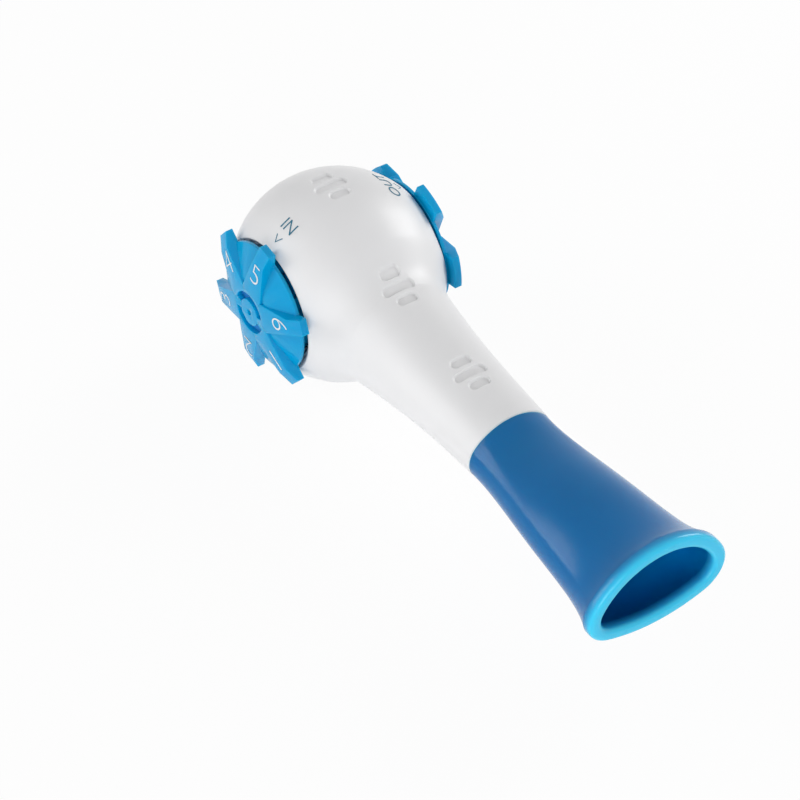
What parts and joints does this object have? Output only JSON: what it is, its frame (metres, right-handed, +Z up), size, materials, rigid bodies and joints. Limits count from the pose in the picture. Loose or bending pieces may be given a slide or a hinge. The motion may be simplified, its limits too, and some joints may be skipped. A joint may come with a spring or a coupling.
{
  "type": "breathing trainer",
  "caption": "Handheld breathing trainer: a hollow ball on an oval neck, a push-fit flared mouthpiece and a petalled dial cartridge with a valve disc in each side socket.",
  "frame": {"origin": "under the middle of the assembled trainer, at the height of the ball's lowest point", "axes": "+X along the dial axis towards the exhale dial, +Y from the mouthpiece towards the ball, +Z up"},
  "size_m": [0.0626, 0.1875, 0.064],
  "materials": {
    "white_plastic": "smooth moulded white plastic",
    "blue_plastic": "smooth moulded blue plastic",
    "blue_rubber": "thin soft blue silicone"
  },
  "bodies": {
    "trainer_body": {"body_shell": "white_plastic"},
    "mouthpiece": {"mouthpiece": "blue_plastic"},
    "inhale_ring": {"inhale_orifice_ring": "blue_plastic"},
    "inhale_selector": {"inhale_flow_selector": "blue_plastic"},
    "inhale_disc": {"inhale_valve_disc": "blue_rubber"},
    "inhale_dial": {"inhale_dial": "blue_plastic"},
    "exhale_ring": {"exhale_orifice_ring": "blue_plastic"},
    "exhale_selector": {"exhale_flow_selector": "blue_plastic"},
    "exhale_disc": {"exhale_valve_disc": "blue_rubber"},
    "exhale_dial": {"exhale_dial": "blue_plastic"}
  },
  "joints": [
    {"name": "mouthpiece_slide", "type": "slide", "parent": "trainer_body", "child": "mouthpiece", "axis": [0, -1, 0], "range_m": [0, 0.028]},
    {"name": "inhale_ring_slide", "type": "slide", "parent": "trainer_body", "child": "inhale_ring", "axis": [-1, 0, 0], "range_m": [0, 0.0186]},
    {"name": "inhale_selector_turn", "type": "hinge", "parent": "inhale_ring", "child": "inhale_selector", "pos_m": [-0.015, 0.06175, 0.032], "axis": [-1, 0, 0], "continuous": true},
    {"name": "inhale_dial_slide", "type": "slide", "parent": "inhale_selector", "child": "inhale_dial", "axis": [-1, 0, 0], "range_m": [0, 0.0376]},
    {"name": "inhale_disc_slide", "type": "slide", "parent": "inhale_selector", "child": "inhale_disc", "axis": [-1, 0, 0], "range_m": [0, 0.01063]},
    {"name": "exhale_ring_slide", "type": "slide", "parent": "trainer_body", "child": "exhale_ring", "axis": [1, 0, 0], "range_m": [0, 0.01975]},
    {"name": "exhale_selector_turn", "type": "hinge", "parent": "exhale_ring", "child": "exhale_selector", "pos_m": [0.015, 0.06175, 0.032], "axis": [1, 0, 0], "continuous": true},
    {"name": "exhale_dial_slide", "type": "slide", "parent": "exhale_selector", "child": "exhale_dial", "axis": [1, 0, 0], "range_m": [0, 0.03765]},
    {"name": "exhale_disc_slide", "type": "slide", "parent": "exhale_selector", "child": "exhale_disc", "axis": [1, 0, 0], "range_m": [0, 0.00997]}
  ],
  "couplings": [
    {"joint": "inhale_disc_slide", "follows": "inhale_dial_slide", "ratio": 0.2828},
    {"joint": "exhale_disc_slide", "follows": "exhale_dial_slide", "ratio": 0.2648}
  ]
}
